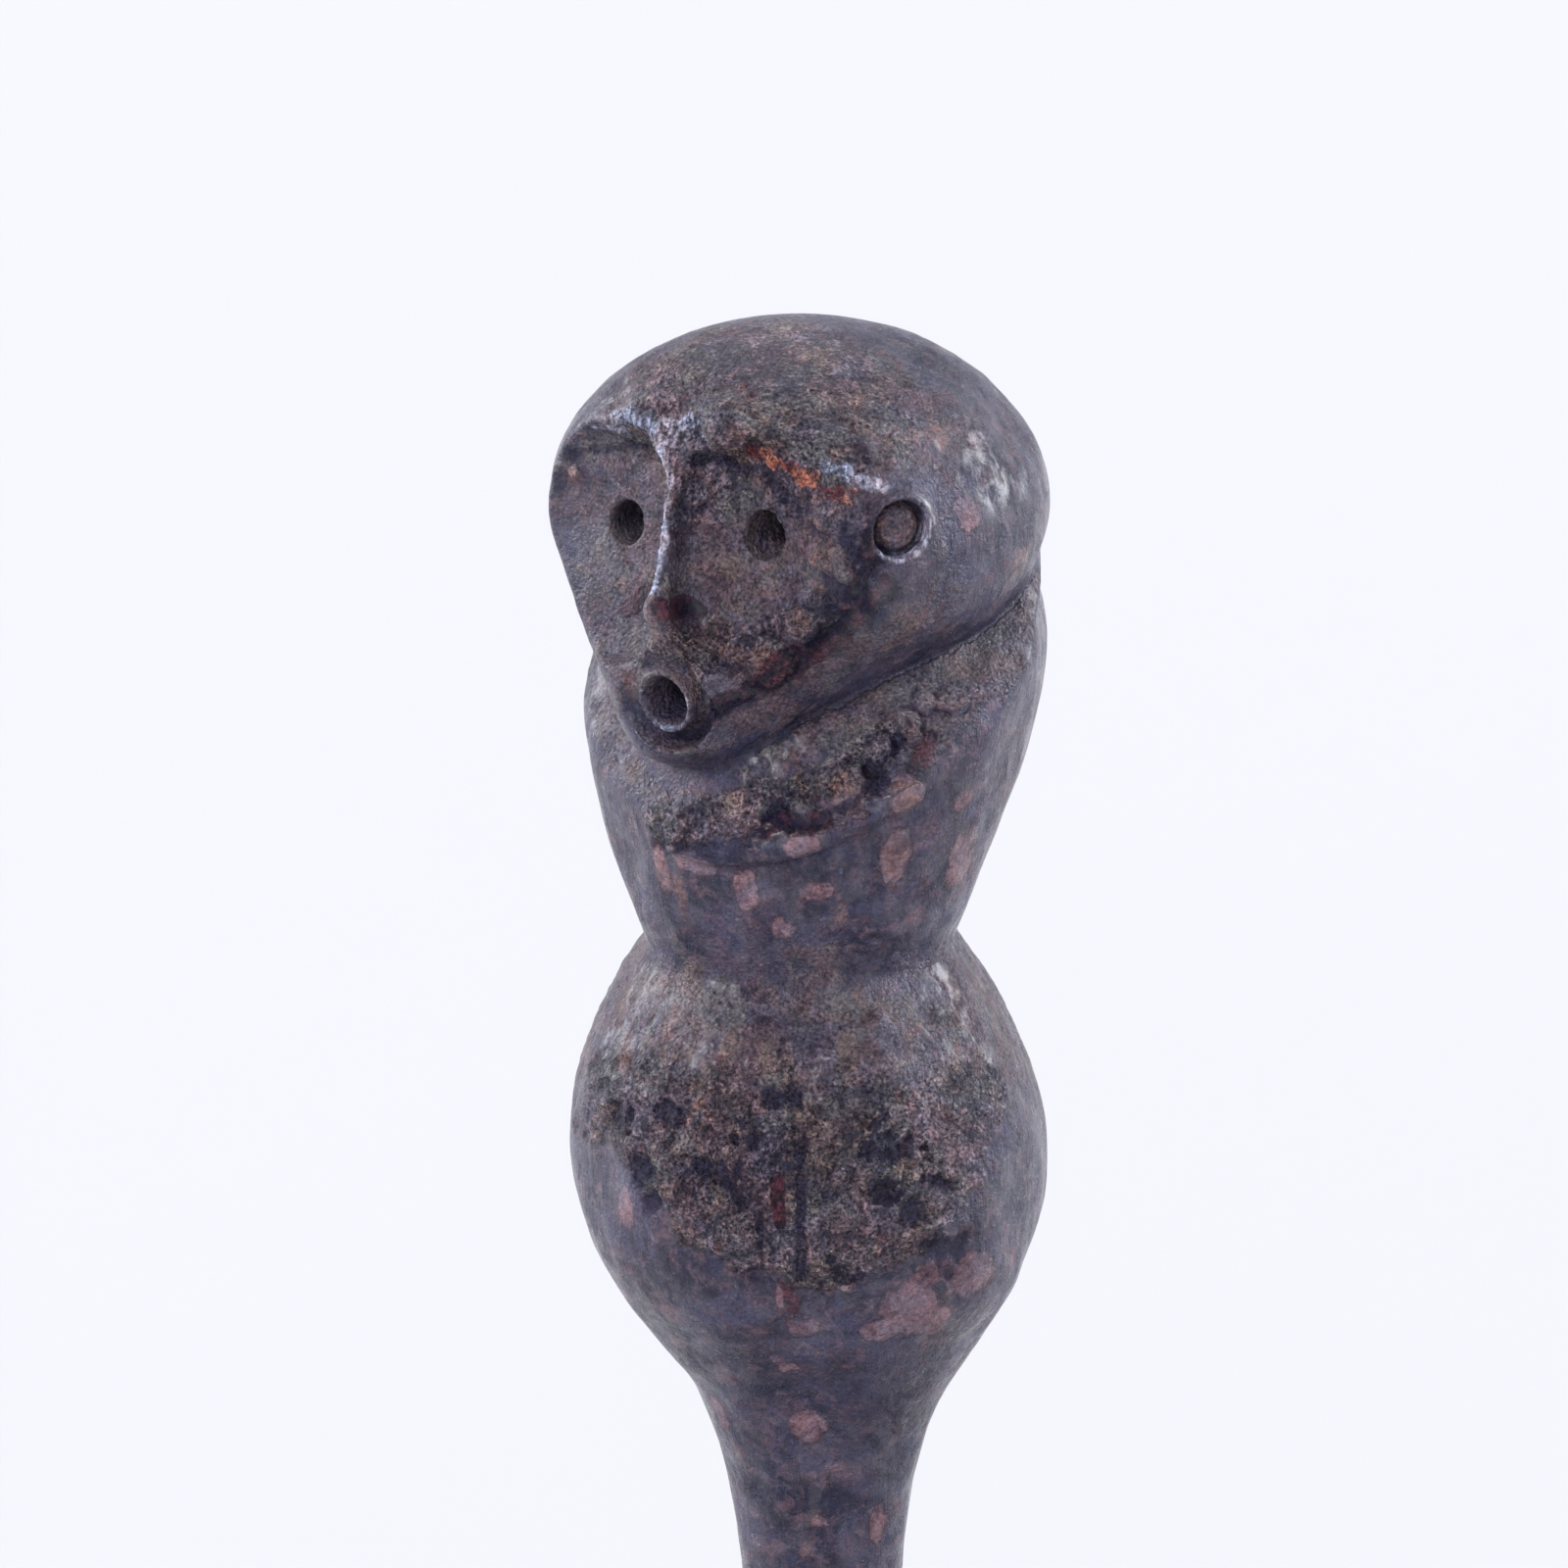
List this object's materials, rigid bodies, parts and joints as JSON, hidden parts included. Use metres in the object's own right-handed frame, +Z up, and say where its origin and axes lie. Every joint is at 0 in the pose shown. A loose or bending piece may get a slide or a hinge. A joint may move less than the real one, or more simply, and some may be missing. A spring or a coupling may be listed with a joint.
{
  "type": "fertility doll",
  "caption": "Carved wooden doll with a domed head, bored eyes and mouth, a full belly and a stick foot, turning on the pin of a square display block that it lifts off.",
  "frame": {"origin": "middle of the stand's underside, on the surface it rests on", "axes": "+Z up along the pin and the figure; -Y is the stand's front, and the figure's face turns away from it to -X"},
  "size_m": [0.066, 0.066, 0.2088],
  "materials": {
    "patinated_wood": "dark dusty patina, polished where handled",
    "ebonised_wood": "satin wax",
    "steel": "turned",
    "felt": "matte"
  },
  "bodies": {
    "stand": {"base_block": "ebonised_wood", "mounting_pin": "steel", "pin_washer": "steel", "pin_nut": "steel", "felt_pads": "felt"},
    "turning_disc": {"foot_disc": "felt"},
    "figure": {"carved_figure": "patinated_wood"}
  },
  "joints": [
    {"name": "figure_swivel", "type": "hinge", "parent": "stand", "child": "turning_disc", "pos_m": [0, 0, 0.0255], "axis": [0, 0, 1], "continuous": true},
    {"name": "figure_lift", "type": "slide", "parent": "turning_disc", "child": "figure", "axis": [0, 0, 1], "range_m": [0, 0.038]}
  ]
}
